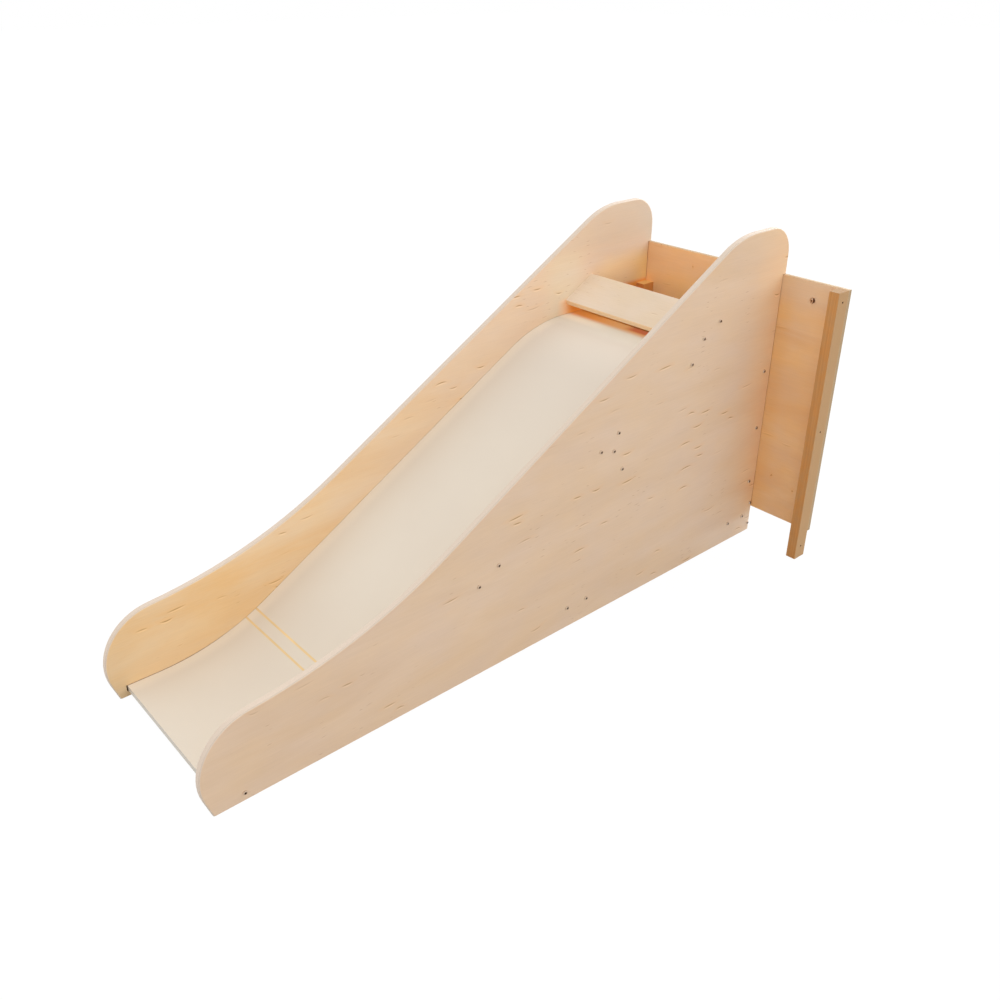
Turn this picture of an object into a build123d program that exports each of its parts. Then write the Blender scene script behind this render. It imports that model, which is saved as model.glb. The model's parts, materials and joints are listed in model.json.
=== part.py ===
from build123d import *
from collections import namedtuple
import math
import os

# Toddler slide: two birch plywood side panels joined by cross boards, with a thin bent sheet
# to slide on, and a back panel with battens that fastens to a play platform.
# Millimetres. While it is built, X = 0 is where a side panel's front edge meets the floor,
# +X runs to the high end, Z = 0 is the floor and Y = 0 is the middle of the slide.
# The parts are then shifted along X so that the origin lies under the middle of the whole slide.

# ---------------------------------------------------------------- driving dimensions
# Side panels
panel_length = 1800.0          # straight bottom edge, from the front corner to the back edge
panel_height = 936.0
panel_t = 18.0
inner_width = 468.0            # clear width between the side panels
rail_rise = 122.8              # rail edge above the sliding surface, square to the slope
rail_bend_r = 1265.0           # long hollow bend between the nose and the straight rail
nose_r = 141.5
nose_center_x = 123.0
nose_center_z = 81.5
crest_r = 245.0                # where the straight rail turns level at the top
rail_top_length = 69.2         # level stretch between the crest and the back corner
back_corner_r = 80.0
panel_round = 4.0              # on the panels' edges, apart from the one on the floor

# Sliding sheet, housed in a groove in each side panel
sheet_core_t = 3.0
laminate_t = 0.8
glue_line = 0.3                # between the core and the laminate
deck_front_x = 22.0            # front edge of the sheet
deck_front_z = 30.0            # height of the sliding surface at the foot
runout_end_x = 103.0           # where the level run-out starts to curve up
foot_bend_r = 600.0
top_bend_r = 400.0
deck_below_top = 292.0         # level top of the sheet, below the panels' top
deck_top_length = 74.0         # level stretch at the top of the sheet
groove_depth = 6.0
groove_end_gap = 0.6           # between the sheet's long edge and the groove's bottom
groove_face_gap = 0.8          # above the sheet
groove_lead = 3.0              # the groove runs on past both ends of the sheet
inlay_width = 5.5              # wood strips flush in the laminate
inlay_x = (342.0, 372.0)

# Cross boards between the side panels
board_w = 120.0
bolt_edge = 25.0               # bolt line to the board's long edge
flange_depth = 28.3            # from the sliding surface down to a cross board's middle plane
mid_beam_from_end = 389.7      # the sheet's upper end to where the beam's centre line meets it
lower_board_x = 730.0
top_board_from_end = 8.2       # the sheet's upper end to the middle of the board
top_board_lift = 65.0          # middle of the board above the level top of the sheet
top_board_round = 2.0
bottom_rail_x = 1046.0
bottom_rail_z = 60.0
upper_strip_w = 56.0           # strip under the sheet's upper end
upper_strip_from_end = 78.2
front_strip_w = 80.0           # housed in the grooves with the sheet, behind its front edging
front_strip_t = 12.0
front_bolt_x = 73.5

# Back panel and battens
back_t = 12.0
back_bottom_z = 81.0
back_below_top = 134.0         # its upper edge, below the panels' top
back_top_round = 2.0
ledge_gap = 0.5                # the side panels reach back over the back panel's upper edge
wing_reach = 201.0             # back panel beyond each side panel
batten_depth = 45.0            # along X
batten_w = 30.0                # along Y
batten_round = 1.5
corner_batten_drop = 120.0     # below the back panel's upper edge
corner_bolt_from_back = 30.0
corner_bolt_first = 56.5       # above the corner batten's foot
corner_bolt_pitch = 176.0
corner_bolt_count = 3
wing_hole_d = 5.0              # for fastening to the next unit
wing_hole_low = 38.0           # above the floor
wing_hole_drop = 28.0          # below the batten's top
wing_hole_count = 3
corner_screw_drop = 65.5       # the topmost, below the corner batten's top
wing_screw_low = 50.0          # above the back panel's lower edge
wing_screw_drop = 71.0         # below its upper edge
wing_screw_count = 4

# Machine bolts and nuts
bolt_d = 6.0
bolt_length = 50.0
batten_bolt_length = 35.0
bolt_head_d = 10.5
bolt_head_h = 3.3
bolt_hex = 4.0
head_round_share = 0.75        # rounding of a round head, of its height
socket_share = 0.6             # depth of the hexagon socket, of the head's height
bolt_hole_gap = 0.3            # radial
thread_gap = 0.05              # radial, bolt in a nut
nut_gap = 0.1                  # radial, nut in its hole
barrel_nut_d = 10.0
barrel_nut_length = 10.0
barrel_nut_inset = 25.0        # board's end to the nut's axis
insert_nut_d = 10.0
insert_nut_length = 15.0
bolt_end_room = 4.0            # bored on past a bolt's end
platform_bolt_d = 8.0
platform_bolt_length = 60.0
platform_neck_d = 7.2          # plain neck, as thick as the thread's pitch diameter
platform_neck_past = 1.0       # the neck ends this far behind the back panel
platform_head_d = 14.0
platform_head_h = 4.4
platform_hex = 5.0
platform_hole_gap = 0.5        # radial
platform_bolt_drop = 50.0      # below the back panel's upper edge
washer_d = 16.0
washer_t = 1.6

# Wood dowels and wood screws
dowel_d = 8.0
dowel_length = 40.0
dowel_in_panel = 12.0
dowel_from_bolt = 18.0
dowel_gap = 0.05               # radial
dowel_end_gap = 1.0
screw_d = 4.0
screw_head_d = 8.0
batten_screw_length = 40.0
beam_screw_length = 60.0
beam_screw_pitch = 160.0
screw_gap = 0.1                # radial
recess_w = 1.0                 # cross recess in a wood screw's head
recess_length = 4.4
recess_depth = 1.4

# ---------------------------------------------------------------- worked-out sizes and places
sheet_t = sheet_core_t + glue_line + laminate_t
inner_y = inner_width / 2
outer_y = inner_y + panel_t
wing_y = outer_y + wing_reach
back_x = panel_length + back_t
back_top_z = panel_height - back_below_top
ledge_z = back_top_z + ledge_gap
batten_x = panel_length - batten_depth / 2
bolt_hole_r = bolt_d / 2 + bolt_hole_gap
platform_bolt_z = back_top_z - platform_bolt_drop
platform_bolt_y = (outer_y + wing_y) / 2
stud_length = platform_bolt_length - washer_t - back_t
sheet_half_y = inner_y + groove_depth - groove_end_gap
front_strip_start_x = deck_front_x + laminate_t
front_strip_low_z = deck_front_z - sheet_t - front_strip_t

# The straight rail touches the crest's circle from above and, a rail_rise above the sheet, runs
# parallel to it past the centre of the foot bend. That gives the slope of both.
foot_center = (runout_end_x, deck_front_z + foot_bend_r)
crest_center = (back_x - back_corner_r - rail_top_length, panel_height - crest_r)
foot_to_crest = (crest_center[0] - foot_center[0], crest_center[1] - foot_center[1])
slope = math.atan2(foot_to_crest[1], foot_to_crest[0]) + math.asin(
    (foot_bend_r - rail_rise + crest_r) / math.hypot(*foot_to_crest)
)
slope_deg = math.degrees(slope)

# The sheet's top bend touches its straight slope and its level top
deck_top_z = panel_height - deck_below_top
top_bend_drop = deck_top_z - deck_front_z - foot_bend_r - top_bend_r
top_bend_center = (
    foot_center[0] + (top_bend_drop + (foot_bend_r + top_bend_r) / math.cos(slope)) / math.tan(slope),
    deck_top_z - top_bend_r,
)
deck_end_x = top_bend_center[0] + deck_top_length
mid_beam_x = deck_end_x - mid_beam_from_end
origin_x = (nose_center_x - nose_r + back_x + stud_length) / 2

# A cross board: the middle of its section, the tilt of its width, and what fastens its ends,
# as places across its width
Board = namedtuple("Board", "x z tilt width thick bolts dowels")


# ---------------------------------------------------------------- helpers
def slope_line_z(x, rise=0.0):
    """Height at x of the straight sliding surface, or of a line a rise above it, square to it."""
    bend_end_x = runout_end_x + foot_bend_r * math.sin(slope)
    bend_end_z = deck_front_z + foot_bend_r * (1 - math.cos(slope))
    return bend_end_z + (x - bend_end_x) * math.tan(slope) + rise / math.cos(slope)


def around(center, radius, degrees):
    angle = math.radians(degrees)
    return center[0] + radius * math.cos(angle), center[1] + radius * math.sin(angle)


def arc(center, radius, start, end):
    """Arc round a centre, from one angle to another, in degrees."""
    return ThreePointArc(*(around(center, radius, a) for a in (start, (start + end) / 2, end)))


def joined(*pieces):
    """Outline edges: arcs and lines as given, with a straight line across each gap."""
    edges = []
    for piece, following in zip(pieces, pieces[1:] + pieces[:1]):
        edges.append(piece)
        if (piece @ 1 - following @ 0).length > 1e-6:
            edges.append(Line(piece @ 1, following @ 0))
    return edges


def side_slab(edges, y_low, y_high):
    """Solid whose outline is drawn in X and Z, between two values of Y."""
    face = Pos(0, y_high, 0) * (Plane.XZ * make_face(edges))
    return extrude(face, amount=y_high - y_low, dir=(0, -1, 0))


def block(x_low, x_high, y_low, y_high, z_low, z_high):
    size = (x_high - x_low, y_high - y_low, z_high - z_low)
    middle = ((x_low + x_high) / 2, (y_low + y_high) / 2, (z_low + z_high) / 2)
    return Pos(*middle) * Box(*size)


def place(shape, point, direction):
    """Puts a shape made along Z at a point, along a direction."""
    return Plane(origin=point, z_dir=direction).location * shape


def pin(radius, length):
    return Cylinder(radius, length, align=(Align.CENTER, Align.CENTER, Align.MIN))


def mirrored(shape):
    return mirror(shape, about=Plane.XZ)


def spaced(first, last, count):
    return [first + n * (last - first) / (count - 1) for n in range(count)]


# ---------------------------------------------------------------- outlines
def rail_outline():
    """Side panel's outline: leaning front, nose, hollow bend, straight rail, crest and back.

    The back is stepped: above the back panel it comes out flush with that panel's rear face.
    """
    nose = (nose_center_x, nose_center_z)
    reach = math.hypot(*nose)
    lean = math.degrees(math.atan2(nose[1], nose[0]) + math.asin(nose_r / reach))
    # centre of the hollow bend: touches the straight rail, and the nose from outside
    start = (0.0, slope_line_z(0, rail_rise + rail_bend_r))
    back = (start[0] - nose[0], start[1] - nose[1])
    along = back[0] * math.cos(slope) + back[1] * math.sin(slope)
    gap = math.hypot(*back) ** 2 - (rail_bend_r + nose_r) ** 2
    bend = around(start, -along + math.sqrt(along ** 2 - gap), slope_deg)
    toward_bend = math.degrees(math.atan2(bend[1] - nose[1], bend[0] - nose[0]))
    corner = (back_x - back_corner_r, panel_height - back_corner_r)
    return joined(
        Line((panel_length, 0), (0, 0)),
        arc(nose, nose_r, lean + 90, toward_bend),
        arc(bend, rail_bend_r, toward_bend - 180, slope_deg - 90),
        arc(crest_center, crest_r, slope_deg + 90, 90),
        arc(corner, back_corner_r, 90, 0),
        Line((back_x, ledge_z), (panel_length, ledge_z)),
    )


def deck_curves(depth):
    """The two bends of the sliding sheet's profile, at a depth below its surface."""
    return (
        arc(foot_center, foot_bend_r + depth, -90, slope_deg - 90),
        arc(top_bend_center, top_bend_r - depth, slope_deg + 90, 90),
    )


def deck_band(upper, lower, lead=0.0):
    """Profile of a layer of the sheet between two depths, longer by a lead at both ends."""
    foot_upper, top_upper = deck_curves(upper)
    foot_lower, top_lower = deck_curves(lower)
    front_x = deck_front_x - lead
    back_end_x = deck_end_x + lead
    corners = [
        (front_x, (foot_upper @ 0).Y),
        (back_end_x, (top_upper @ 1).Y),
        (back_end_x, (top_lower @ 1).Y),
        (front_x, (foot_lower @ 0).Y),
    ]
    return [
        Line(corners[0], foot_upper @ 0),
        foot_upper,
        Line(foot_upper @ 1, top_upper @ 0),
        top_upper,
        Line(top_upper @ 1, corners[1]),
        Line(corners[1], corners[2]),
        Line(corners[2], top_lower @ 1),
        top_lower,
        Line(top_lower @ 0, foot_lower @ 1),
        foot_lower,
        Line(foot_lower @ 0, corners[3]),
        Line(corners[3], corners[0]),
    ]


# ---------------------------------------------------------------- hardware
def button_bolt(diameter, length, head_d, head_h, hex_size, neck_d=0.0, neck_length=0.0):
    """Round-headed bolt: the shank runs along +Z from the underside of the head.

    A bolt with a thinner plain neck has its full diameter only past the neck.
    """
    head = Rot(180, 0, 0) * pin(head_d / 2, head_h)
    head = fillet(head.edges().sort_by(Axis.Z)[0], head_round_share * head_h)
    socket = extrude(RegularPolygon(hex_size / 2, 6, major_radius=False), amount=socket_share * head_h)
    shank = Pos(0, 0, neck_length) * pin(diameter / 2, length - neck_length)
    if neck_length:
        shank += pin(neck_d / 2, neck_length)
    return head + shank - Pos(0, 0, -head_h) * socket


def ring(outer_d, inner_d, length):
    return pin(outer_d / 2, length) - pin(inner_d / 2, length)


def barrel_nut():
    """Cross dowel along Z, with its thread along Y."""
    body = Pos(0, 0, -barrel_nut_length / 2) * pin(barrel_nut_d / 2, barrel_nut_length)
    thread = pin(bolt_d / 2 + thread_gap, 2 * barrel_nut_d)
    return body - Rot(90, 0, 0) * Pos(0, 0, -barrel_nut_d) * thread


def screw_profile(length, gap=0.0):
    """Countersunk screw along -Z with its head flush at Z = 0, or the hole for it."""
    head_r = screw_head_d / 2 + gap
    shank_r = screw_d / 2 + gap
    tip_z = -length - gap
    outline = Polyline(
        (0, 0),
        (head_r, 0),
        (shank_r, shank_r - head_r),
        (shank_r, tip_z + shank_r),
        (0, tip_z),
        close=True,
    )
    return revolve(Plane.XZ * make_face(outline), Axis.Z)


def wood_screw(length):
    arm = Box(recess_w, recess_length, 2 * recess_depth)
    return screw_profile(length) - arm - Rot(0, 0, 90) * arm


# ---------------------------------------------------------------- cross boards
def flange(x):
    """Place of a board under the straight sliding surface, square below the point at x."""
    return x + flange_depth * math.sin(slope), slope_line_z(x) - flange_depth * math.cos(slope)


def across(board, place_across, height=0.0):
    """Point of a board's section: a place across its width and a height above its middle plane."""
    x, z = around((board.x, board.z), place_across, board.tilt)
    return around((x, z), height, board.tilt + 90)


bolt_pair = (bolt_edge - board_w / 2, board_w / 2 - bolt_edge)
mid_flange = Board(*flange(mid_beam_x), slope_deg, board_w, panel_t, bolt_pair, ())
web_center = across(mid_flange, 0, -(panel_t + board_w) / 2)
rear_z = board_w / 2
front_strip_middle_x = front_strip_start_x + front_strip_w / 2
boards = {
    "top_board": Board(
        deck_end_x - top_board_from_end,
        deck_top_z + top_board_lift,
        slope_deg,
        board_w,
        panel_t,
        bolt_pair,
        (),
    ),
    "mid_beam_flange": mid_flange,
    "mid_beam_web": Board(*web_center, slope_deg - 90, board_w, panel_t, bolt_pair, ()),
    "lower_cross_board": Board(*flange(lower_board_x), slope_deg, board_w, panel_t, bolt_pair, ()),
    "bottom_rail": Board(bottom_rail_x, bottom_rail_z, 0, board_w, panel_t, bolt_pair, ()),
    "rear_rail_upright": Board(panel_length - panel_t / 2, rear_z, 90, board_w, panel_t, bolt_pair, ()),
    "rear_rail_flat": Board(
        panel_length - panel_t - board_w / 2, rear_z, 0, board_w, panel_t, bolt_pair, ()
    ),
    "upper_deck_strip": Board(
        deck_end_x - upper_strip_from_end,
        deck_top_z - sheet_t - panel_t / 2,
        0,
        upper_strip_w,
        panel_t,
        (0,),
        (dowel_from_bolt,),
    ),
    "front_deck_strip": Board(
        front_strip_middle_x,
        front_strip_low_z + front_strip_t / 2,
        0,
        front_strip_w,
        front_strip_t,
        (front_bolt_x - front_strip_middle_x,),
        (front_bolt_x - front_strip_middle_x + dowel_from_bolt,),
    ),
}


def board_fastening(kind):
    """Points in X and Z of all bolts or dowels in the ends of the cross boards."""
    return [across(board, offset) for board in boards.values() for offset in getattr(board, kind)]


def cross_board(board, half_length, edge_round=0.0):
    """Board with bolts, nuts and dowels in its ends, which may reach into the side panels."""
    solid = Box(board.width, 2 * half_length, board.thick)
    if edge_round:
        solid = fillet(solid.edges().filter_by(Axis.Y), edge_round)
    housed = half_length - inner_y
    nut_hole = pin(barrel_nut_d / 2 + nut_gap, (board.thick + barrel_nut_length) / 2)
    bolt_bore = pin(bolt_hole_r, housed + bolt_length - panel_t + bolt_end_room)
    dowel_bore = pin(dowel_d / 2 + dowel_gap, housed + dowel_length - dowel_in_panel + dowel_end_gap)
    for side in (-1, 1):
        for offset in board.bolts:
            solid -= place(bolt_bore, (offset, side * half_length, 0), (0, -side, 0))
            solid -= Pos(offset, side * (inner_y - barrel_nut_inset), -board.thick / 2) * nut_hole
        for offset in board.dowels:
            solid -= place(dowel_bore, (offset, side * half_length, 0), (0, -side, 0))
    return Pos(board.x, 0, board.z) * Rot(0, -board.tilt, 0) * solid


def sheet_room():
    """Space of the sheet and everything above it, which the strip under its upper end stays out of."""
    return side_slab(deck_band(-panel_t, sheet_t, groove_lead), -inner_y, inner_y)


def front_strip_room():
    """The front strip's place in the groove of the +Y side, as long again in front as the sheet's."""
    return block(
        deck_front_x - groove_lead,
        front_strip_start_x + front_strip_w + groove_lead,
        inner_y,
        inner_y + groove_depth,
        front_strip_low_z,
        deck_front_z,
    )


# ---------------------------------------------------------------- places of the back's fastenings
corner_batten_y = inner_y - batten_w / 2
wing_batten_y = wing_y - batten_w / 2
corner_bolt_x = panel_length - corner_bolt_from_back
corner_batten_top_z = back_top_z - corner_batten_drop
corner_bolt_z = [board_w + corner_bolt_first + n * corner_bolt_pitch for n in range(corner_bolt_count)]
corner_screw_z = [z + corner_bolt_pitch / 2 for z in corner_bolt_z[:-1]]
corner_screw_z.append(corner_batten_top_z - corner_screw_drop)
wing_screw_z = spaced(back_bottom_z + wing_screw_low, back_top_z - wing_screw_drop, wing_screw_count)
wing_hole_z = spaced(wing_hole_low, back_top_z - wing_hole_drop, wing_hole_count)
platform_bolts_at = [(y, platform_bolt_z) for y in (-platform_bolt_y, 0, platform_bolt_y)]
beam_screw_y = (-beam_screw_pitch, 0, beam_screw_pitch)


def batten_screws(shape, y, heights):
    """Copies of a shape at the screws that hold a batten to the back panel."""
    return [place(shape, (back_x, y, z), (1, 0, 0)) for z in heights]


def tee_screws(shape, board):
    """Copies of a shape at the screws through the middle of a beam's flange into its web."""
    x, z = across(board, 0, board.thick / 2)
    up = across(board, 0, board.thick / 2 + 1)
    return [place(shape, (x, y, z), (up[0] - x, 0, up[1] - z)) for y in beam_screw_y]


# The rear upright's screws go in from behind, so its own middle plane faces the other way
rear_upright = boards["rear_rail_upright"]._replace(tilt=-90)


# ---------------------------------------------------------------- pieces
def lies_at(edge, z):
    return abs((edge @ 0).Z - z) < 0.01 and abs((edge @ 1).Z - z) < 0.01


def side_panel():
    """The panel on the +Y side."""
    panel = side_slab(rail_outline(), inner_y, outer_y)
    outline = panel.edges().filter_by(Axis.Y, reverse=True)
    panel = fillet([e for e in outline if not (lies_at(e, 0) or lies_at(e, ledge_z))], panel_round)
    groove = side_slab(deck_band(-groove_face_gap, sheet_t, groove_lead), inner_y, inner_y + groove_depth)
    panel -= groove
    panel -= front_strip_room()
    bolt_holes = board_fastening("bolts") + [(corner_bolt_x, z) for z in corner_bolt_z]
    for x, z in bolt_holes:
        panel -= place(pin(bolt_hole_r, panel_t), (x, outer_y, z), (0, -1, 0))
    for x, z in board_fastening("dowels"):
        hole = pin(dowel_d / 2 + dowel_gap, dowel_in_panel + dowel_end_gap)
        panel -= place(hole, (x, inner_y, z), (0, 1, 0))
    return panel


def inlay_windows():
    """Where the wood strips cross the sheet, square to the foot bend."""
    windows = []
    for x in inlay_x:
        turn = math.asin((x - runout_end_x) / foot_bend_r)
        z = deck_front_z + foot_bend_r * (1 - math.cos(turn))
        window = Box(inlay_width, 2 * sheet_half_y, 4 * sheet_t)
        windows.append(Pos(x, 0, z) * Rot(0, -math.degrees(turn), 0) * window)
    return windows


def sliding_sheet():
    """Plywood core, the laminate on it and down its front edge, and the strips in the laminate."""
    edging = block(
        deck_front_x,
        front_strip_start_x,
        -sheet_half_y,
        sheet_half_y,
        front_strip_low_z,
        deck_front_z - laminate_t,
    )
    core = side_slab(deck_band(laminate_t + glue_line, sheet_t), -sheet_half_y, sheet_half_y) - edging
    skin = side_slab(deck_band(0, laminate_t), -sheet_half_y, sheet_half_y)
    laminate = skin
    for window in inlay_windows():
        laminate -= window
    inlays = [skin & window for window in inlay_windows()]
    return {
        "slide_core": core,
        "slide_laminate": [*laminate.solids(), edging],
        "slide_inlay_strips": inlays,
    }


def back_panel():
    panel = block(panel_length, back_x, -wing_y, wing_y, back_bottom_z, back_top_z)
    top_edges = panel.edges().filter_by(Axis.Y).group_by(Axis.Z)[-1]
    panel = fillet(top_edges, back_top_round)
    for y, z in platform_bolts_at:
        hole = pin(platform_bolt_d / 2 + platform_hole_gap, back_t)
        panel -= place(hole, (panel_length, y, z), (1, 0, 0))
    hole = screw_profile(batten_screw_length, screw_gap)
    for side in (-1, 1):
        for cut in batten_screws(hole, side * corner_batten_y, corner_screw_z):
            panel -= cut
        for cut in batten_screws(hole, side * wing_batten_y, wing_screw_z):
            panel -= cut
    return panel


def batten(y, z_low, z_high, screw_heights):
    """Upright batten against the back panel, on the +Y side, centred on y."""
    x_low = panel_length - batten_depth
    solid = block(x_low, panel_length, y - batten_w / 2, y + batten_w / 2, z_low, z_high)
    solid = fillet(solid.edges().filter_by(Axis.Z).group_by(Axis.X)[0], batten_round)
    for cut in batten_screws(screw_profile(batten_screw_length, screw_gap), y, screw_heights):
        solid -= cut
    return solid


def corner_batten():
    solid = batten(corner_batten_y, board_w, corner_batten_top_z, corner_screw_z)
    nut_hole = pin(insert_nut_d / 2 + nut_gap, insert_nut_length)
    bolt_bore = pin(bolt_hole_r, batten_bolt_length - panel_t + bolt_end_room)
    for z in corner_bolt_z:
        for cut in (nut_hole, bolt_bore):
            solid -= place(cut, (corner_bolt_x, inner_y, z), (0, -1, 0))
    return solid


def wing_batten():
    solid = batten(wing_batten_y, 0, back_top_z, wing_screw_z)
    for z in wing_hole_z:
        solid -= place(pin(wing_hole_d / 2, batten_w), (batten_x, wing_y, z), (0, -1, 0))
    return solid


def side_hardware():
    """Bolts, nuts and dowels of the +Y side, by node."""
    board_bolt = button_bolt(bolt_d, bolt_length, bolt_head_d, bolt_head_h, bolt_hex)
    batten_bolt = button_bolt(bolt_d, batten_bolt_length, bolt_head_d, bolt_head_h, bolt_hex)
    barrel = barrel_nut()
    insert = ring(insert_nut_d, bolt_d + 2 * thread_gap, insert_nut_length)
    barrels = []
    for board in boards.values():
        for offset in board.bolts:
            x, z = across(board, offset)
            turned = Rot(0, -board.tilt, 0) * barrel
            barrels.append(Pos(x, inner_y - barrel_nut_inset, z) * turned)
    dowel = pin(dowel_d / 2, dowel_length)
    dowel_y = inner_y + dowel_in_panel
    inward = (0, -1, 0)
    return {
        "board_bolts": [place(board_bolt, (x, outer_y, z), inward) for x, z in board_fastening("bolts")],
        "barrel_nuts": barrels,
        "batten_bolts": [place(batten_bolt, (corner_bolt_x, outer_y, z), inward) for z in corner_bolt_z],
        "insert_nuts": [place(insert, (corner_bolt_x, inner_y, z), inward) for z in corner_bolt_z],
        "strip_dowels": [place(dowel, (x, dowel_y, z), inward) for x, z in board_fastening("dowels")],
        "corner_screws": batten_screws(wood_screw(batten_screw_length), corner_batten_y, corner_screw_z),
        "wing_screws": batten_screws(wood_screw(batten_screw_length), wing_batten_y, wing_screw_z),
    }


def platform_hardware():
    bolt = button_bolt(
        platform_bolt_d,
        platform_bolt_length,
        platform_head_d,
        platform_head_h,
        platform_hex,
        platform_neck_d,
        washer_t + back_t + platform_neck_past,
    )
    washer = ring(washer_d, platform_bolt_d + 2 * bolt_hole_gap, washer_t)
    washer_x = panel_length - washer_t
    return {
        "platform_bolts": [place(bolt, (washer_x, y, z), (1, 0, 0)) for y, z in platform_bolts_at],
        "platform_washers": [place(washer, (washer_x, y, z), (1, 0, 0)) for y, z in platform_bolts_at],
    }


def fitted_boards():
    """Cross boards with their screw holes, and the upper strip shaped to the sheet."""
    made = {name: cross_board(board, inner_y) for name, board in boards.items()}
    made["top_board"] = cross_board(boards["top_board"], inner_y, top_board_round)
    made["front_deck_strip"] = cross_board(boards["front_deck_strip"], sheet_half_y)
    made["upper_deck_strip"] -= sheet_room()
    hole = screw_profile(beam_screw_length, screw_gap)
    for cut in tee_screws(hole, mid_flange):
        made["mid_beam_flange"] -= cut
        made["mid_beam_web"] -= cut
    for cut in tee_screws(hole, rear_upright):
        made["rear_rail_upright"] -= cut
        made["rear_rail_flat"] -= cut
    return made


def all_nodes():
    nodes = {}
    nodes.update(fitted_boards())
    nodes.update(sliding_sheet())
    nodes["back_panel"] = back_panel()
    nodes.update(platform_hardware())
    nodes["mid_beam_screws"] = tee_screws(wood_screw(beam_screw_length), mid_flange)
    nodes["rear_rail_screws"] = tee_screws(wood_screw(beam_screw_length), rear_upright)
    one_side = {
        "side_panel": side_panel(),
        "corner_batten": corner_batten(),
        "wing_batten": wing_batten(),
        **side_hardware(),
    }
    for name, made in one_side.items():
        solids = made if isinstance(made, list) else [made]
        nodes[name + "_right"] = solids
        nodes[name + "_left"] = [mirrored(solid) for solid in solids]
    return nodes


os.makedirs("parts", exist_ok=True)
for name, made in all_nodes().items():
    solids = made if isinstance(made, list) else made.solids()
    moved = [Pos(-origin_x, 0, 0) * solid for solid in solids]
    export_step(moved[0] if len(moved) == 1 else Compound(children=moved), f"parts/{name}.step")
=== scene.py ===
import json
import math

import bpy
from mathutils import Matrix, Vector


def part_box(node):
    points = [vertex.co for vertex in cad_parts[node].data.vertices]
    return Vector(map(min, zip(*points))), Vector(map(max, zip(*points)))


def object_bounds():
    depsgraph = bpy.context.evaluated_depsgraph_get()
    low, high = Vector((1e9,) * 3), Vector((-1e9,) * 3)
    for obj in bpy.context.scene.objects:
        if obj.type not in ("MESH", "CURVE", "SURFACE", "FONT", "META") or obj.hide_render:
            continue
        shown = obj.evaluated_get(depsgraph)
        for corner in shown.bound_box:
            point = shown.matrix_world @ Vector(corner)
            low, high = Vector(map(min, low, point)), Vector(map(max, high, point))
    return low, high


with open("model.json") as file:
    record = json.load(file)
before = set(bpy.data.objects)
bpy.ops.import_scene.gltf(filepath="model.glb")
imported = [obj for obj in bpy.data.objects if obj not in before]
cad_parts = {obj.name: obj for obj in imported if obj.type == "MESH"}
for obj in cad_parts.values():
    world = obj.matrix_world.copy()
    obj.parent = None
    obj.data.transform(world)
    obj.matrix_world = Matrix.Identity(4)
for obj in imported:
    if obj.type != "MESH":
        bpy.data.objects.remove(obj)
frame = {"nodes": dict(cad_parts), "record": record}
cad_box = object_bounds()
bpy.ops.object.select_all(action="DESELECT")

# ---------------------------------------------------------------- sizes read from the frame
mm = 0.001


def centre(node):
    low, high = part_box(node)
    return (low + high) / 2


def extent(node):
    low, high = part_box(node)
    return high - low


panel_t = extent("side_panel_left").y
back_t = extent("back_panel").x
inner_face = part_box("side_panel_right")[0].y
outer_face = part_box("side_panel_right")[1].y
panel_middle = abs(centre("side_panel_left").y)
uphill = centre("mid_beam_flange") - centre("lower_cross_board")
slope = math.atan2(uphill.z, uphill.x)
quarter = math.pi / 2

# ---------------------------------------------------------------- what all the wood and steel share
veneer_t = 0.35 * mm
panel_plies = 13
back_plies = 9
core_plies = 3
ring_pitch = 3.2 * mm
wood_gloss = 0.2
laminate_gloss = 0.3
plate_tone = (205, 184, 163)
brass_plate_tone = (190, 168, 120)
shank_tone = (206, 206, 205)
plate_roughness = 0.34
screw_roughness = 0.38

# ---------------------------------------------------------------- view settings and camera
scene = bpy.context.scene
scene.view_settings.view_transform = "Standard"

camera_place = (-1.41675, -1.7302, 1.5336)
camera_tilt, camera_heading = math.radians(61.296), math.radians(-40.826)
camera_data = bpy.data.cameras.new("camera")
camera_data.lens = 35.0
camera_data.sensor_width = 36.0
camera_data.shift_x = -0.0005
camera_data.shift_y = 0.0005
camera = bpy.data.objects.new("camera", camera_data)
camera.location = camera_place
camera.rotation_euler = (camera_tilt, 0.0, camera_heading)
scene.collection.objects.link(camera)
scene.camera = camera

# ---------------------------------------------------------------- shader helpers


def add(tree, kind, inputs=None, **settings):
    """A new shader node. An input takes either a value or another node's output."""
    made = tree.nodes.new(kind)
    for name, value in settings.items():
        setattr(made, name, value)
    for key, value in (inputs or {}).items():
        if isinstance(value, bpy.types.NodeSocket):
            tree.links.new(value, made.inputs[key])
        else:
            made.inputs[key].default_value = value
    return made


def math_node(tree, operation, *values, clamp=False):
    made = add(tree, "ShaderNodeMath", dict(enumerate(values)), operation=operation, use_clamp=clamp)
    return made.outputs[0]


def times(tree, a, b):
    return math_node(tree, "MULTIPLY", a, b)


def ramp(tree, factor, *stops):
    """A colour or grey ramp. Each stop is a position and a colour, or a position and a grey value."""
    made = add(tree, "ShaderNodeValToRGB", {0: factor})
    elements = made.color_ramp.elements
    while len(elements) < len(stops):
        elements.new(1.0)
    for element, (position, colour) in zip(elements, stops):
        element.position = position
        element.color = (*(colour if hasattr(colour, "__len__") else (colour,) * 3), 1.0)
    return made.outputs["Color"]


def mix(tree, factor, a, b, blend="MIX"):
    made = add(tree, "ShaderNodeMix", data_type="RGBA", blend_type=blend)
    for key, value in ((0, factor), (6, a), (7, b)):
        if isinstance(value, bpy.types.NodeSocket):
            tree.links.new(value, made.inputs[key])
        else:
            made.inputs[key].default_value = value if key == 0 else (*value, 1.0)
    return made.outputs[2]


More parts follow.
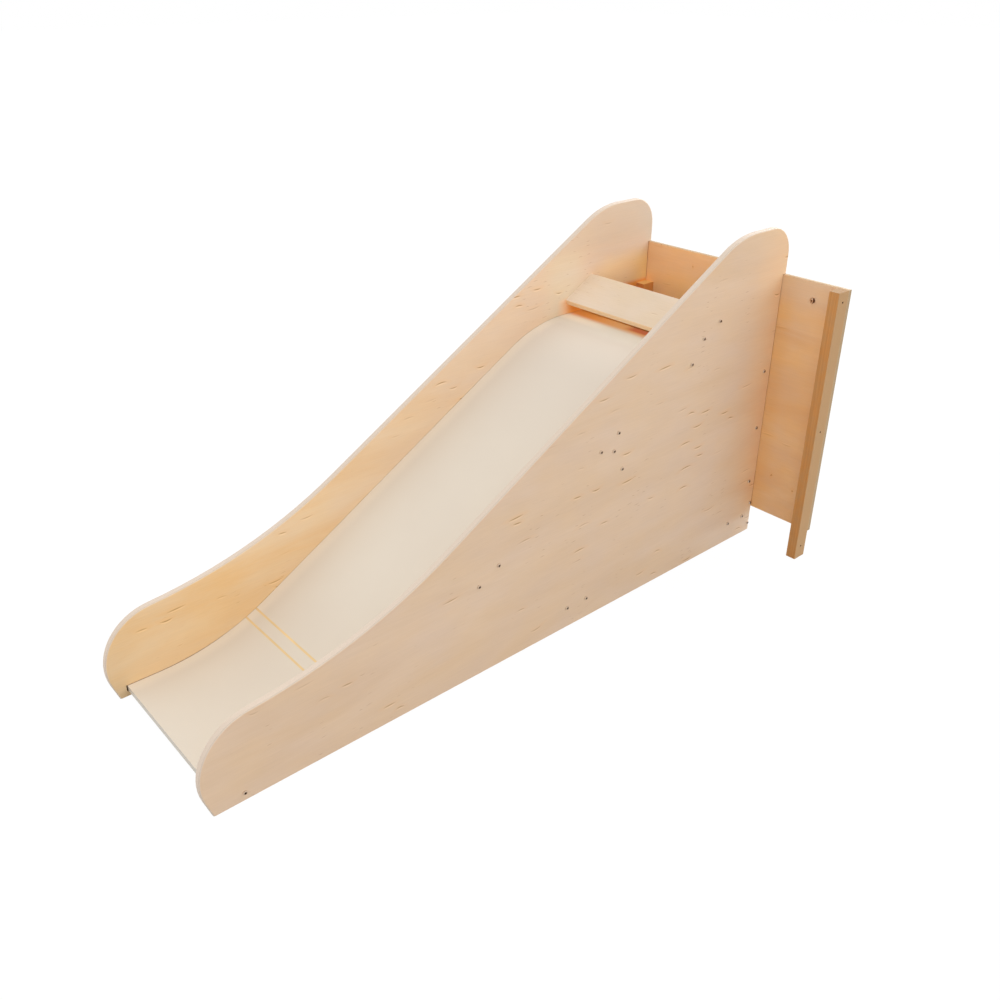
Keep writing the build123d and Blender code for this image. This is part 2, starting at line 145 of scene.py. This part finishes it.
def noise(tree, vector, stretch, detail=3.0, roughness=0.5, distortion=0.0):
    """Noise with its own number of features per metre along each axis."""
    placed = add(tree, "ShaderNodeMapping", {"Vector": vector, "Scale": stretch}).outputs[0]
    settings = {"Vector": placed, "Scale": 1.0, "Detail": detail, "Roughness": roughness,
                "Distortion": distortion}
    return add(tree, "ShaderNodeTexNoise", settings).outputs["Fac"]


def linear(red, green, blue):
    """Colour as it shows on a screen, from 0 to 255, turned into the shader's linear values."""
    def one(value):
        share = value / 255
        return share / 12.92 if share <= 0.04045 else ((share + 0.055) / 1.055) ** 2.4
    return tuple(one(value) for value in (red, green, blue))


def between(tree, value, low, high):
    """From 0 at low to 1 at high, easing in and out."""
    made = add(tree, "ShaderNodeMapRange", {"Value": value, "From Min": low, "From Max": high},
               interpolation_type="SMOOTHSTEP")
    return made.outputs["Result"]


def vector_node(tree, operation, *values):
    return add(tree, "ShaderNodeVectorMath", dict(enumerate(values)), operation=operation).outputs[0]


def length_of(tree, vector):
    return add(tree, "ShaderNodeVectorMath", {0: vector}, operation="LENGTH").outputs["Value"]


def split(tree, vector):
    """The three parts of a vector, as a tuple of outputs."""
    return tuple(add(tree, "ShaderNodeSeparateXYZ", {0: vector}).outputs)


def join(tree, *parts):
    return add(tree, "ShaderNodeCombineXYZ", dict(enumerate(parts))).outputs[0]


def place_in_row(tree):
    """Object coordinates. Every piece sits at the row's origin, so these are places in the row."""
    return add(tree, "ShaderNodeTexCoord").outputs["Object"]


def new_material(name, **inputs):
    material = bpy.data.materials.new(name)
    material.use_nodes = True
    tree = material.node_tree
    shader = tree.nodes["Principled BSDF"]
    for key, value in inputs.items():
        shader.inputs[key.replace("_", " ")].default_value = value
    return material, tree, shader


def local_coordinates(tree, place, turn):
    """Object coordinates in a frame of the piece's own, placed and turned in the row's frame."""
    placing = {"Vector": place_in_row(tree), "Location": place, "Rotation": turn}
    return add(tree, "ShaderNodeMapping", placing, vector_type="TEXTURE").outputs[0]


def bump(tree, shader, height, distance, amount):
    made = add(tree, "ShaderNodeBump", {"Height": height, "Distance": distance, "Strength": amount})
    tree.links.new(made.outputs[0], shader.inputs["Normal"])


# ---------------------------------------------------------------- wood


def flecks(tree, leaf, cell, half, share):
    """Short curved flecks, scattered one to a cell and lying nearly along the grain.

    leaf has the grain along its X. cell is the size of a cell along and across the grain, half
    a fleck's half length and half width, and share the part of the cells that hold one. Gives
    how dark each place is, how light, because a painted highlight runs as a pale line beside each
    fleck in place of the light on its ridge, and how warm, because the wood round it is stained.
    """
    shrink = (1 / cell[0], 1 / cell[1], 0.0)
    placed = add(tree, "ShaderNodeMapping", {"Vector": leaf, "Scale": shrink}).outputs[0]
    cells = add(tree, "ShaderNodeTexVoronoi", {"Vector": placed, "Scale": 1.0, "Randomness": 0.8},
                voronoi_dimensions="2D", feature="F1")
    offset = vector_node(tree, "SUBTRACT", placed, cells.outputs["Position"])
    fleck_size = (cell[0] / half[0], cell[1] / half[1], 0.0)
    u, v, _ = split(tree, vector_node(tree, "MULTIPLY", offset, fleck_size))
    bow, length, chosen = add(tree, "ShaderNodeSeparateColor", {0: cells.outputs["Color"]}).outputs
    u = times(tree, u, math_node(tree, "MULTIPLY_ADD", length, 0.9, 0.75))
    far = times(tree, u, u)
    bend = times(tree, math_node(tree, "MULTIPLY_ADD", bow, 4.0, -2.0), far)
    lean = times(tree, u, math_node(tree, "MULTIPLY_ADD", length, 1.8, -1.0))
    line = math_node(tree, "ADD", v, math_node(tree, "ADD", lean, bend))

    def stroke(middle, spread_u, spread_v):
        beside = times(tree, math_node(tree, "SUBTRACT", line, middle), 1 / spread_v)
        reach = times(tree, far, 1 / spread_u ** 2)
        near = math_node(tree, "MULTIPLY_ADD", beside, beside, reach)
        return math_node(tree, "SUBTRACT", 1.0, near, clamp=True)

    there = math_node(tree, "GREATER_THAN", chosen, 1.0 - share)
    # the second stroke is the pale line beside a fleck, a painted highlight for the light on its ridge
    dark, light, warm = (0.0, 1.0, 1.0), (-2.0, 1.0, 1.2), (0.5, 2.0, 5.0)
    return tuple(times(tree, there, stroke(*shape)) for shape in (dark, light, warm))


def strength(tree, *factors):
    """Factors multiplied together and kept between 0 and 1."""
    product = factors[0]
    for factor in factors[1:]:
        product = math_node(tree, "MULTIPLY", product, factor, clamp=True)
    return product


def stain(tree, amount, colour, share_kept):
    """Colour darkened or lightened by a share for red, green and blue, where the amount says."""
    return mix(tree, amount, colour, mix(tree, 1.0, colour, share_kept, "MULTIPLY"))


def plywood(name, place, turn, thickness, plies, tones, grain_along_x=True, seed=0.0, figure=1.0,
            pins=0.0, cloudy=0.35, mouth=None):
    """Birch plywood: a rotary-cut face veneer with short flecks, over plies that show at the edges.

    The piece's own Z runs through its thickness. tones are the face's main tone, its warmer
    streaks, and the light and the dark plies of the edge. The first two may also be a function
    that gives them for a shader tree. figure is how strong the flecks are, pins how many of the
    places for a pin knot have one, and cloudy how much the tone drifts. mouth is a function that
    says where a groove's mouth is painted dark as shade.
    """
    material, tree, shader = new_material(name, Roughness=0.48, IOR=1.45)
    shader.inputs["Specular IOR Level"].default_value = wood_gloss
    veneer_tones, light_ply, dark_ply = tones[0], linear(*tones[1]), linear(*tones[2])
    leaves = veneer_tones(tree) if callable(veneer_tones) else (linear(*tone) for tone in veneer_tones)
    face_tone, streak_tone = leaves
    local = local_coordinates(tree, place, turn)
    x, y, z = split(tree, local)
    along, across = (x, y) if grain_along_x else (y, x)
    leaf = vector_node(tree, "ADD", join(tree, along, across, z), (seed, seed * 0.7, 0.0))

    # slow bands of warmer and paler wood, pinker and yellower clouds, then fine fibres
    bands = noise(tree, leaf, (1.8, 8.0, 8.0), detail=5.0, roughness=0.58, distortion=0.9)
    face = mix(tree, ramp(tree, bands, (0.36, 0.0), (0.70, 1.0)), face_tone, streak_tone)
    clouds = noise(tree, vector_node(tree, "ADD", leaf, (5.0, 2.0, 0.0)), (7.0, 11.0, 11.0), detail=4.0)
    drift = ramp(tree, clouds, (0.34, (0.96, 0.97, 1.06)), (0.66, (1.03, 0.99, 0.90)))
    face = mix(tree, cloudy, face, drift, "MULTIPLY")
    fibres = noise(tree, leaf, (14.0, 420.0, 420.0), detail=2.0)
    face = mix(tree, 0.10, face, ramp(tree, fibres, (0.3, 0.72), (0.7, 1.1)), "MULTIPLY")

    # flecks in loose groups, rows of small ticks, and pin knots
    groups = between(tree, noise(tree, leaf, (2.4, 5.0, 5.0), detail=2.0), 0.42, 0.58)
    dark, light, warm = flecks(tree, leaf, cell=(98 * mm, 36 * mm), half=(22 * mm, 1.9 * mm), share=0.32)
    face = stain(tree, strength(tree, warm, groups, 0.5 * figure), face, (1.02, 0.93, 0.78))
    face = stain(tree, strength(tree, dark, groups, 1.15 * figure), face, (0.63, 0.52, 0.39))
    # painted highlight: the pale line beside each fleck, in place of the light on its ridge
    face = stain(tree, strength(tree, light, groups, 1.5 * figure), face, (1.10, 1.15, 1.22))
    rows = between(tree, noise(tree, leaf, (9.0, 2.6, 2.6), detail=2.0), 0.52, 0.64)
    ticks, painted_tick_glints, _ = flecks(tree, leaf, cell=(40 * mm, 12.5 * mm), half=(8.5 * mm, 1.2 * mm), share=0.36)
    face = stain(tree, strength(tree, ticks, rows, 0.8 * figure), face, (0.74, 0.62, 0.49))
    # painted highlight: the pale glints beside the ticks
    face = stain(tree, strength(tree, painted_tick_glints, rows, 0.6 * figure), face, (1.04, 1.07, 1.10))
    if pins:
        knots, _, halo = flecks(tree, leaf, cell=(110 * mm, 75 * mm), half=(3.4 * mm, 2.6 * mm), share=pins)
        face = stain(tree, strength(tree, halo, 0.35), face, (1.0, 0.86, 0.68))
        face = stain(tree, strength(tree, knots, 1.3), face, (0.66, 0.46, 0.30))

    # plies at the edges, by depth below the nearer face
    depth = math_node(tree, "SUBTRACT", thickness / 2, math_node(tree, "ABSOLUTE", z))
    turns = times(tree, z, math.pi * plies / thickness)
    layer = math_node(tree, "MULTIPLY_ADD", math_node(tree, "COSINE", turns), 0.5, 0.5)
    pores = noise(tree, local, (260.0, 260.0, 900.0), detail=2.0)
    edge = mix(tree, ramp(tree, layer, (0.35, 0.0), (0.65, 1.0)), dark_ply, light_ply)
    edge = mix(tree, 0.18, edge, ramp(tree, pores, (0.3, 0.7), (0.6, 1.05)), "MULTIPLY")
    wood = mix(tree, math_node(tree, "LESS_THAN", depth, veneer_t), edge, face)
    if mouth:
        # painted shade: the groove's mouth is painted dark in place of the shade inside it
        wood = mix(tree, mouth(tree), wood, linear(112, 62, 28))
    tree.links.new(wood, shader.inputs["Base Color"])
    bump(tree, shader, fibres, 0.02 * mm, 0.6)
    return material


def batten_wood(name, pith, tones, holes=(), seed=0.0):
    """Planed pine, upright: growth rings about a pith line beside the batten.

    tones are the pale and the dark part of a ring, the faces along Y, which are painted paler as
    lit, and the sawn ends. The insides of the holes, given as places and radii, are painted dark as
    shade.
    """
    early, late, side, end = (linear(*tone) for tone in tones)
    material, tree, shader = new_material(name, Roughness=0.55, IOR=1.45)
    shader.inputs["Specular IOR Level"].default_value = wood_gloss
    local = local_coordinates(tree, (*pith, seed), (0.0, 0.0, 0.0))
    sway = noise(tree, local, (24.0, 24.0, 1.6), detail=3.0)
    x, y, _ = split(tree, local)
    radius = length_of(tree, join(tree, x, y, 0.0))
    swayed = math_node(tree, "MULTIPLY_ADD", sway, 12 * mm, radius)
    ring = math_node(tree, "FRACT", times(tree, swayed, 1 / ring_pitch))
    wood = mix(tree, ramp(tree, ring, (0.0, 0.1), (0.55, 0.6), (0.85, 1.0), (1.0, 0.1)), early, late)
    fibres = noise(tree, local, (420.0, 420.0, 9.0), detail=2.0)
    wood = mix(tree, 0.22, wood, ramp(tree, fibres, (0.3, 0.6), (0.7, 1.15)), "MULTIPLY")
    patches = noise(tree, local, (45.0, 45.0, 32.0), detail=4.0, roughness=0.6)
    drift = ramp(tree, patches, (0.36, (1.04, 0.97, 0.86)), (0.64, (0.95, 0.99, 1.06)))
    wood = mix(tree, 1.0, wood, drift, "MULTIPLY")
    _, across, upward = split(tree, add(tree, "ShaderNodeNewGeometry").outputs["True Normal"])
    # painted light: the faces along Y get a paler copy of the wood's tone, as the lit side
    for facing, tone in ((across, side), (upward, end)):
        faced = math_node(tree, "GREATER_THAN", math_node(tree, "ABSOLUTE", facing), 0.5)
        wood = mix(tree, faced, wood, mix(tree, 0.75, wood, tone))
    # painted shade: the insides of the holes are painted dark brown
    for place, reach in holes:
        from_axis = vector_node(tree, "SUBTRACT", place_in_row(tree), place)
        away = length_of(tree, vector_node(tree, "MULTIPLY", from_axis, (1.0, 0.0, 1.0)))
        wood = mix(tree, math_node(tree, "LESS_THAN", away, reach), wood, linear(92, 56, 28))
    tree.links.new(wood, shader.inputs["Base Color"])
    bump(tree, shader, fibres, 0.03 * mm, 0.6)
    return material


def plain_wood(name, tone):
    """Wood of the small pieces, with fibres along Y and a slow change of tone."""
    material, tree, shader = new_material(name, Roughness=0.5, IOR=1.45)
    shader.inputs["Specular IOR Level"].default_value = wood_gloss
    fibres = noise(tree, place_in_row(tree), (300.0, 12.0, 300.0), detail=2.0)
    wood = mix(tree, 0.2, linear(*tone), ramp(tree, fibres, (0.3, 0.7), (0.7, 1.1)), "MULTIPLY")
    cloud = noise(tree, place_in_row(tree), (20.0, 9.0, 20.0), detail=3.0)
    wood = mix(tree, 0.5, wood, ramp(tree, cloud, (0.35, 0.86), (0.65, 1.1)), "MULTIPLY")
    tree.links.new(wood, shader.inputs["Base Color"])
    return material


# ---------------------------------------------------------------- laminate and steel


def laminate():
    """Off-white laminate: painted paler along its sides as bounce light from the side panels, painted
    paler in front of the top board and deep orange beneath it as light and shade, greyer on its front
    edging, and darker along the grooves at the foot."""
    material, tree, shader = new_material("slide_laminate_finish", Roughness=0.46, IOR=1.5)
    shader.inputs["Specular IOR Level"].default_value = laminate_gloss
    x, y, _ = split(tree, place_in_row(tree))
    front, end = (corner.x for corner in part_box("slide_laminate"))
    aside = math_node(tree, "ABSOLUTE", y)
    cloud = noise(tree, place_in_row(tree), (2.0, 2.0, 2.0), detail=4.0)
    drift = ramp(tree, cloud, (0.35, 0.0), (0.65, 1.0))
    tone = mix(tree, drift, linear(216, 206, 191), linear(212, 201, 186))
    upper_half = between(tree, x, 50 * mm, 400 * mm)
    tone = mix(tree, upper_half, tone, linear(211, 200, 186))
    # painted bounce light: the sheet is painted paler along its sides, by the side panels
    tone = mix(tree, between(tree, aside, inner_face - 45 * mm, inner_face), tone, linear(229, 218, 201))

    # painted light and shade towards the top board and beneath it: paler in front of the board where
    # its shade would fall, deep orange beneath it in place of its shade and warm bounce light, deepest
    # towards the -Y side; each tone runs into another across the sheet
    across = between(tree, y, 40 * mm, 170 * mm)
    pale = mix(tree, across, linear(229, 224, 210), linear(248, 240, 221))
    painted_shade_under_board = mix(tree, across, linear(226, 168, 100), linear(236, 159, 76))
    near_half = between(tree, y, 45 * mm, 5 * mm)
    deepest_painted_shade = times(tree, near_half, between(tree, x, end - 36 * mm, end - 20 * mm))
    painted_shade_under_board = mix(tree, deepest_painted_shade, painted_shade_under_board, linear(192, 88, 8))
    tone = mix(tree, between(tree, x, end - 135 * mm, end - 90 * mm), tone, linear(224, 217, 203))
    tone = mix(tree, between(tree, x, end - 100 * mm, end - 67 * mm), tone, pale)
    tone = mix(tree, between(tree, x, end - 60 * mm, end - 29 * mm), tone, painted_shade_under_board)

    # the front edging, and a darker line along the corners between sheet and side panels at the foot
    edging = math_node(tree, "LESS_THAN", x, front + 0.3 * mm)
    tone = mix(tree, edging, tone, linear(201, 193, 180))
    seam = between(tree, aside, inner_face - 1.9 * mm, inner_face - 0.9 * mm)
    foot = between(tree, x, front + 330 * mm, front + 120 * mm)
    tone = mix(tree, strength(tree, seam, foot, 0.75), tone, linear(150, 108, 70))
    tree.links.new(tone, shader.inputs["Base Color"])
    grain = noise(tree, place_in_row(tree), (900.0, 900.0, 900.0), detail=1.0)
    bump(tree, shader, grain, 0.01 * mm, 0.3)
    return material


def steel(name, tone, roughness, head=None, rim_painted_tone=(112, 84, 60), socket_shade_tone=(46, 28, 16),
          flank_shade_tone=None):
    """Plated steel, in the tone of its plating.

    head is the axis of a row of bolts, the distance of their heads' seats from the middle of the
    row, the way the heads point along the axis, and their height. Their shanks are plain, their
    flat rims are painted a tone of their own, by default darker as painted shade round the socket,
    their sockets are painted dark as shade, and so is the -Y flank, if a tone for it is given.
    """
    material, tree, shader = new_material(name, Metallic=1.0)
    smear = noise(tree, place_in_row(tree), (500.0, 500.0, 500.0), detail=3.0)
    tint = mix(tree, 0.3, linear(*tone), ramp(tree, smear, (0.3, 0.8), (0.7, 1.1)), "MULTIPLY")
    if head:
        axis, seat, outward, head_h = head
        normal = split(tree, add(tree, "ShaderNodeNewGeometry").outputs["True Normal"])
        facing = math_node(tree, "ABSOLUTE", normal[axis])
        there = math_node(tree, "ABSOLUTE", split(tree, place_in_row(tree))[axis])
        height = times(tree, math_node(tree, "SUBTRACT", there, seat), outward)

        def above(level):
            return math_node(tree, "GREATER_THAN", height, level)

        flat = math_node(tree, "GREATER_THAN", facing, 0.95)
        bottom = times(tree, flat, math_node(tree, "LESS_THAN", height, 0.8 * head_h))
        wall = math_node(tree, "LESS_THAN", facing, 0.12)
        socket = times(tree, above(0.36 * head_h), math_node(tree, "MAXIMUM", wall, bottom))
        rim = times(tree, math_node(tree, "GREATER_THAN", facing, 0.97), above(0.9 * head_h))
        tint = mix(tree, above(-0.1 * mm), linear(*shank_tone), tint)
        # the flat rim is painted in a tone of its own: darker as painted shade round the socket, and pale as
        # a painted highlight on the platform bolts
        tint = mix(tree, times(tree, rim, 0.8), tint, linear(*rim_painted_tone))
        if flank_shade_tone:
            # painted shade on the -Y flank
            flank = times(tree, above(0.1 * mm), math_node(tree, "LESS_THAN", normal[1], -0.25))
            tint = mix(tree, flank, tint, linear(*flank_shade_tone))
        # painted shade: the socket's walls and bottom are painted dark
        tint = mix(tree, socket, tint, linear(*socket_shade_tone))
    tree.links.new(tint, shader.inputs["Base Color"])
    rough = math_node(tree, "MULTIPLY_ADD", smear, 0.2, roughness - 0.1)
    tree.links.new(rough, shader.inputs["Roughness"])
    return material


# ---------------------------------------------------------------- tones of the veneers, with painted light and shade


def side_veneer_and_painted_light(tree):
    """The side panels' leaves, with painted light and shade: the outer one warmer towards the rear as
    painted shade and warm bounce light from the back panel, and paler again by the floor; the inner one
    yellower at the foot, pale along the top of its rear end, painted paler round the top board where its
    shade falls, painted warm and bright down behind the board as bounce light in the pocket, with a
    painted glow beside the board, and deep in colour beneath it as painted shade and bounce light."""
    x, y, z = split(tree, place_in_row(tree))
    outer = math_node(tree, "GREATER_THAN", math_node(tree, "ABSOLUTE", y), panel_middle)

    # zones, most of them painted light and shade round the top board, in the pocket and at the rear,
    # each from where it starts to where it is full, in metres along the row's X and Z
    rear = between(tree, x, 0.70, 0.90)
    uphill_share = between(tree, x, -0.75, 0.55)
    crown = between(tree, z, 0.79, 0.85)
    behind_board = times(tree, between(tree, z, 0.805, 0.738), between(tree, x, 0.60, 0.72))
    corner = between(tree, x, 0.78, 0.88)
    under = between(tree, z, 0.698, 0.680)
    beside_board = times(tree, under, between(tree, x, 0.492, 0.525))
    beneath_board = times(tree, under, between(tree, x, 0.515, 0.562))
    above_board = times(tree, between(tree, x, 0.42, 0.50), between(tree, x, 0.63, 0.55))
    by_floor = times(tree, between(tree, z, 0.088, 0.042), between(tree, x, 0.55, 0.72))

    def leaf(foot, ear, by_board, top, pocket, pocket_corner, glow, deep, outside, outside_rear, outside_low):
        # painted light: paler round the top board, where its shade falls
        upper = mix(tree, above_board, linear(*ear), linear(*by_board))
        inner = mix(tree, uphill_share, linear(*foot), mix(tree, crown, upper, linear(*top)))
        # painted bounce light warm and bright behind the board in the pocket, a painted glow beside the
        # board, and painted shade and bounce light beneath it
        low = mix(tree, corner, linear(*pocket), linear(*pocket_corner))
        inner = mix(tree, behind_board, inner, low)
        inner = mix(tree, beside_board, inner, linear(*glow))
        inner = mix(tree, beneath_board, inner, linear(*deep))
        # painted shade and warm bounce light on the outer face towards the rear
        outward = mix(tree, rear, linear(*outside), linear(*outside_rear))
        return mix(tree, outer, inner, mix(tree, by_floor, outward, linear(*outside_low)))

    main = leaf(
        foot=(240, 213, 174), ear=(234, 211, 187), by_board=(233, 217, 194), top=(226, 205, 181),
        pocket=(255, 226, 181), pocket_corner=(255, 228, 168), glow=(248, 214, 180), deep=(252, 174, 86),
        outside=(236, 208, 180), outside_rear=(247, 213, 173), outside_low=(243, 218, 192),
    )
    streaks = leaf(
        foot=(237, 200, 148), ear=(232, 204, 174), by_board=(231, 210, 181), top=(224, 197, 170),
        pocket=(255, 217, 166), pocket_corner=(255, 218, 150), glow=(246, 210, 173), deep=(250, 170, 82),
        outside=(231, 200, 167), outside_rear=(244, 202, 158), outside_low=(240, 211, 181),
    )
    return main, streaks


def board_veneer(tree):
    """The cross boards' leaves, a little paler towards the +Y end."""
    far = between(tree, split(tree, place_in_row(tree))[1], 20 * mm, 200 * mm)
    main = mix(tree, far, linear(220, 202, 182), linear(228, 210, 188))
    streaks = mix(tree, far, linear(214, 194, 168), linear(223, 202, 174))
    return main, streaks


def back_veneer_and_painted_light(tree):
    """The back panel's leaves: the front one stronger in colour between and beside the side panels,
    painted brighter and warmer low down between them as bounce light in the pocket, and paler at the
    top, the rear one pale all over."""
    x, y, z = split(tree, place_in_row(tree))
    rear = math_node(tree, "GREATER_THAN", x, centre("back_panel").x)
    aside = math_node(tree, "ABSOLUTE", y)
    middle = math_node(tree, "LESS_THAN", aside, panel_middle)
    beside = between(tree, aside, 315 * mm, 262 * mm)
    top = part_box("back_panel")[1].z
    high = between(tree, z, top - 110 * mm, top)
    low = between(tree, z, top - 30 * mm, top - 100 * mm)

    def leaf(wing, near, upper, inner, inner_low, behind):
        outer = mix(tree, beside, linear(*wing), linear(*near))
        # painted bounce light: brighter and warmer low down between the side panels
        between_sides = mix(tree, low, linear(*inner), linear(*inner_low))
        front = mix(tree, middle, mix(tree, high, outer, linear(*upper)), between_sides)
        return mix(tree, rear, front, linear(*behind))

    main = leaf(
        wing=(237, 196, 148), near=(236, 191, 136), upper=(230, 197, 160),
        inner=(247, 200, 147), inner_low=(255, 212, 154), behind=(204, 181, 153),
    )
    streaks = leaf(
        wing=(230, 181, 130), near=(233, 178, 117), upper=(225, 187, 147),
        inner=(242, 187, 131), inner_low=(255, 201, 139), behind=(197, 171, 139),
    )
    return main, streaks


# a veneer's main tone and streaks, then the light and the dark plies of the edge
side_tones = (side_veneer_and_painted_light, (218, 202, 186), (204, 185, 167))
board_tones = (board_veneer, (237, 207, 168), (229, 192, 148))
back_tones = (back_veneer_and_painted_light, (196, 172, 138), (182, 150, 112))
core_tones = (((214, 190, 158), (206, 178, 142)), (214, 190, 158), (196, 166, 128))

# a ring's pale and dark part, then the faces along Y, painted paler as lit, and the sawn ends
wing_tones = ((200, 147, 91), (192, 138, 85), (198, 162, 120), (141, 109, 66))
corner_tones = ((231, 153, 86), (223, 144, 78), (226, 165, 96), (255, 215, 137))


def groove_shade(tree):
    """Where the inside of a side panel's groove, in front of the sheet's front edge, is painted dark as
    shade.
    """
    x, y, z = split(tree, place_in_row(tree))
    front, strip_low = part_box("slide_laminate")[0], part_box("front_deck_strip")[0].z

    def around(value, middle, reach):
        return math_node(tree, "COMPARE", value, middle, reach)

    within = around(math_node(tree, "ABSOLUTE", y), inner_face + 3.65 * mm, 3.5 * mm)
    ahead = around(x, front.x, 4.5 * mm)
    level = around(z, strip_low + 8 * mm, 10 * mm)
    return strength(tree, within, ahead, level)


# ---------------------------------------------------------------- dressing the pieces


def dress(material, *nodes):
    for node in nodes:
        obj = frame["nodes"][node]
        obj.data.materials.clear()
        obj.data.materials.append(material)


# a seed moves the figure, so that no two pieces are cut from one place in the leaf
for side, seed in (("left", 0.0), ("right", 3.7)):
    node = f"side_panel_{side}"
    finish = plywood(f"{node}_finish", centre(node), (quarter, 0, 0), panel_t, panel_plies, side_tones,
                     seed=seed, mouth=groove_shade)
    dress(finish, node)

flat_boards = {"bottom_rail": 0.0, "rear_rail_flat": 0.0, "upper_deck_strip": 0.0, "front_deck_strip": 0.0}
tilted_boards = {
    "top_board": -slope,
    "mid_beam_flange": -slope,
    "mid_beam_web": quarter - slope,
    "lower_cross_board": -slope,
    "rear_rail_upright": quarter,
}
board_seed_step = 1.3
for number, (node, turn) in enumerate({**flat_boards, **tilted_boards}.items()):
    thickness = extent(node).z if node in flat_boards else panel_t
    finish = plywood(f"{node}_finish", centre(node), (0, turn, 0), thickness, panel_plies, board_tones,
                     grain_along_x=False, seed=board_seed_step * number, figure=0.5)
    dress(finish, node)

# the core is bent, so it has no flat face to find: it shows its plies' tones all over, in wide bands
core_bands = 1.0
finish = plywood("slide_core_finish", centre("slide_core"), (0, 0, 0), core_bands, core_plies, core_tones)
dress(finish, "slide_core")
finish = plywood("back_panel_finish", centre("back_panel"), (0, quarter, 0), back_t, back_plies,
                 back_tones, grain_along_x=False, figure=0.3, pins=0.4, cloudy=1.0)
dress(finish, "back_panel")

# the holes' axes in the wing battens, each with the radius that is painted dark as shade
hole_axes = []
for mount in frame["record"]["mounts"]:
    if mount["name"].startswith("wing_"):
        reach = (mount["dims"].get("hole_r_mm") or mount["dims"]["r_mm"]) * mm + 0.2 * mm
        half_spacing = mount["dims"].get("spacing_y_mm", 0.0) * mm / 2
        x, y, z = mount["pos_m"]
        hole_axes += [((x, y, z + step), reach) for step in sorted({-half_spacing, half_spacing})]

pith_behind, pith_aside = 50 * mm, 30 * mm
batten_seed_step = 0.9
battens = [(kind, side) for kind in ("wing", "corner") for side in ("left", "right")]
for number, (kind, side) in enumerate(battens):
    node = f"{kind}_batten_{side}"
    middle = centre(node)
    tones = wing_tones if kind == "wing" else corner_tones
    holes = [(place, reach) for place, reach in hole_axes if kind == "wing" and place[1] * middle.y > 0]
    finish = batten_wood(f"{node}_finish", (middle.x + pith_behind, middle.y + pith_aside), tones, holes,
                         seed=batten_seed_step * number)
    dress(finish, node)

dress(laminate(), "slide_laminate")
dress(plain_wood("inlay_finish", (228, 200, 150)), "slide_inlay_strips")
dress(plain_wood("dowel_finish", (214, 180, 138)), "strip_dowels_left", "strip_dowels_right")

plated = steel("plated_steel_finish", plate_tone, plate_roughness)
yellow = steel("screw_steel_finish", brass_plate_tone, screw_roughness)
along_y, along_x = 1, 0
side_bolt_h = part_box("board_bolts_right")[1].y - outer_face
side_steel = steel("side_bolt_finish", plate_tone, plate_roughness, (along_y, outer_face, 1, side_bolt_h))
washer_face, bolt_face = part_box("platform_washers")[0].x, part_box("platform_bolts")[0].x
# the platform bolts' rims are painted pale as a highlight, their sockets and -Y flanks painted dark as shade
platform_steel = steel("platform_bolt_finish", plate_tone, plate_roughness,
                       (along_x, washer_face, -1, washer_face - bolt_face),
                       rim_painted_tone=(224, 188, 156), socket_shade_tone=(158, 122, 92), flank_shade_tone=(92, 48, 16))
for node in frame["nodes"]:
    if node == "platform_bolts":
        dress(platform_steel, node)
    elif "bolts" in node:
        dress(side_steel, node)
    elif "nuts" in node or "washers" in node:
        dress(plated, node)
    elif "screws" in node:
        dress(yellow, node)

# ---------------------------------------------------------------- floor and light
white = (1.0, 1.0, 1.0, 1.0)


def seen_or_mirrored(tree):
    """1 for a place that is seen or mirrored, and 0 for one that only gives light."""
    path = add(tree, "ShaderNodeLightPath")
    return math_node(tree, "MAXIMUM", path.outputs["Is Camera Ray"], path.outputs["Is Glossy Ray"])


def floor():
    """Pale floor that shows white where nothing shades it, with a faint shadow under the slide."""
    side_length, grey, glow_strength, glow_share = 60.0, (0.30, 0.295, 0.29), 1.08, 0.91
    bpy.ops.mesh.primitive_plane_add(size=side_length, location=(0.0, 0.0, cad_box[0].z))
    plane = bpy.context.object
    plane.name = "floor"
    material = bpy.data.materials.new("floor_finish")
    material.use_nodes = True
    tree = material.node_tree
    tree.nodes.clear()
    diffuse = add(tree, "ShaderNodeBsdfDiffuse", {"Color": (*grey, 1.0)})
    glow = add(tree, "ShaderNodeEmission", {"Color": white, "Strength": glow_strength})
    share = times(tree, seen_or_mirrored(tree), glow_share)
    shown = add(tree, "ShaderNodeMixShader", {0: share, 1: diffuse.outputs[0], 2: glow.outputs[0]})
    end = add(tree, "ShaderNodeOutputMaterial")
    tree.links.new(shown.outputs[0], end.inputs["Surface"])
    plane.data.materials.append(material)


def world_light(zenith, horizon):
    """Light from all round, by height above the horizon. It shows, and is mirrored, as plain white."""
    world = bpy.data.worlds.new("studio")
    scene.world = world
    world.use_nodes = True
    tree = world.node_tree
    tree.nodes.clear()
    up = split(tree, add(tree, "ShaderNodeTexCoord").outputs["Generated"])[2]
    level = math_node(tree, "MULTIPLY_ADD", math_node(tree, "MAXIMUM", up, 0.0), zenith - horizon, horizon)
    in_sight = seen_or_mirrored(tree)
    shown = add(tree, "ShaderNodeMix", {0: in_sight, 2: level, 3: 1.0}, data_type="FLOAT").outputs[0]
    background = add(tree, "ShaderNodeBackground", {"Color": white, "Strength": shown})
    end = add(tree, "ShaderNodeOutputWorld")
    tree.links.new(background.outputs[0], end.inputs["Surface"])


def softbox(name, location, target, size, energy):
    data = bpy.data.lights.new(name, "AREA")
    data.shape = "SQUARE"
    data.size = size
    data.energy = energy
    lamp = bpy.data.objects.new(name, data)
    lamp.location = location
    lamp.rotation_euler = (Vector(target) - Vector(location)).to_track_quat("-Z", "Y").to_euler()
    scene.collection.objects.link(lamp)


slide_middle = (0.0, 0.0, 0.45)
floor()
world_light(zenith=0.75, horizon=1.55)
softbox("front", (-4.0, 0.0, 2.8), slide_middle, size=3.0, energy=33.0)
softbox("rear", (4.0, 0.0, 2.8), slide_middle, size=3.0, energy=150.0)
